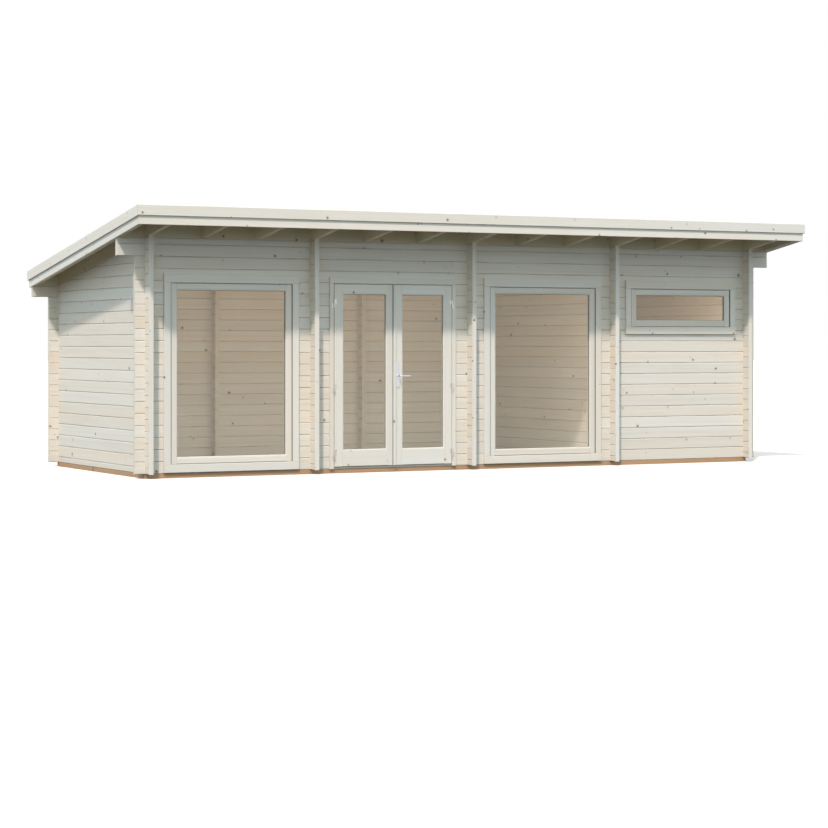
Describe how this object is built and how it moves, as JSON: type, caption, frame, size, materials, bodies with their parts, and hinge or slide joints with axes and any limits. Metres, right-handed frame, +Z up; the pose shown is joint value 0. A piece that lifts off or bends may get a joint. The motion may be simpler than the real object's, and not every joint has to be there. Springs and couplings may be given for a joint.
{
  "type": "garden office pod (log cabin with a lean-to roof)",
  "caption": "Long, low garden office of interlocking wall logs, with tall fixed windows, a glazed double door and a lean-to roof with wide front eaves.",
  "frame": {"origin": "on the ground, at the middle of the whole outline", "axes": "+X to the right along the front, +Y to the back, +Z up"},
  "size_m": [7.531, 3.251, 2.5406],
  "materials": {
    "log_wood": "whitewashed spruce, matt, planed",
    "joinery_wood": "whitewashed spruce, smooth",
    "eaves_wood": "whitewashed spruce board with small knots",
    "roof_wood": "plain planed spruce",
    "floor_wood": "plain planed spruce boards",
    "treated_wood": "pressure treated pine, brown",
    "roofing_felt": "mineral felt, dull",
    "glass": "clear",
    "hinge_steel": "zinc plated",
    "handle_metal": "satin"
  },
  "bodies": {
    "cabin": {"foundation_frame": "treated_wood", "floor_boards": "floor_wood", "front_wall_left": "log_wood", "front_wall_right": "log_wood", "front_wall_over_door": "log_wood", "front_top_log": "log_wood", "back_wall": "log_wood", "back_top_log": "log_wood", "left_wall": "log_wood", "partition_wall": "log_wood", "right_wall": "log_wood", "front_crossings": "log_wood", "back_crossings": "log_wood", "log_end_boards": "eaves_wood", "rafters": "roof_wood", "eaves_filling": "roof_wood", "roof_boards": "roof_wood", "roof_covering": "roofing_felt", "front_lower_board": "eaves_wood", "front_upper_board": "eaves_wood", "back_lower_board": "eaves_wood", "back_upper_board": "eaves_wood", "lower_verges": "eaves_wood", "upper_verges": "eaves_wood", "left_window_casing": "joinery_wood", "left_window_sash": "joinery_wood", "right_window_casing": "joinery_wood", "right_window_sash": "joinery_wood", "high_window_casing": "joinery_wood", "high_window_sash": "joinery_wood", "window_glass": "glass", "door_frame": "joinery_wood", "door_casing": "joinery_wood", "door_threshold": "joinery_wood", "frame_hinges": "hinge_steel"},
    "left_leaf": {"left_leaf": "joinery_wood", "left_leaf_glass": "glass", "left_leaf_hinges": "hinge_steel"},
    "right_leaf": {"right_leaf": "joinery_wood", "right_leaf_glass": "glass", "right_leaf_hinges": "hinge_steel", "meeting_strip": "joinery_wood", "handle_plates": "handle_metal"},
    "lever": {"lever_handle": "handle_metal"}
  },
  "joints": [
    {"name": "left_door", "type": "hinge", "parent": "cabin", "child": "left_leaf", "pos_m": [-1.4905, -1.0245, 0.833], "axis": [0, 0, -1], "range_deg": [0, 120]},
    {"name": "right_door", "type": "hinge", "parent": "cabin", "child": "right_leaf", "pos_m": [-0.1765, -1.0245, 0.833], "axis": [0, 0, 1], "range_deg": [0, 120]},
    {"name": "lever_turn", "type": "hinge", "parent": "right_leaf", "child": "lever", "pos_m": [-0.7925, -1.0155, 0.953], "axis": [0, 1, 0], "range_deg": [0, 35], "stiffness_Nm_per_rad": 2, "springref_deg": -22.92}
  ]
}
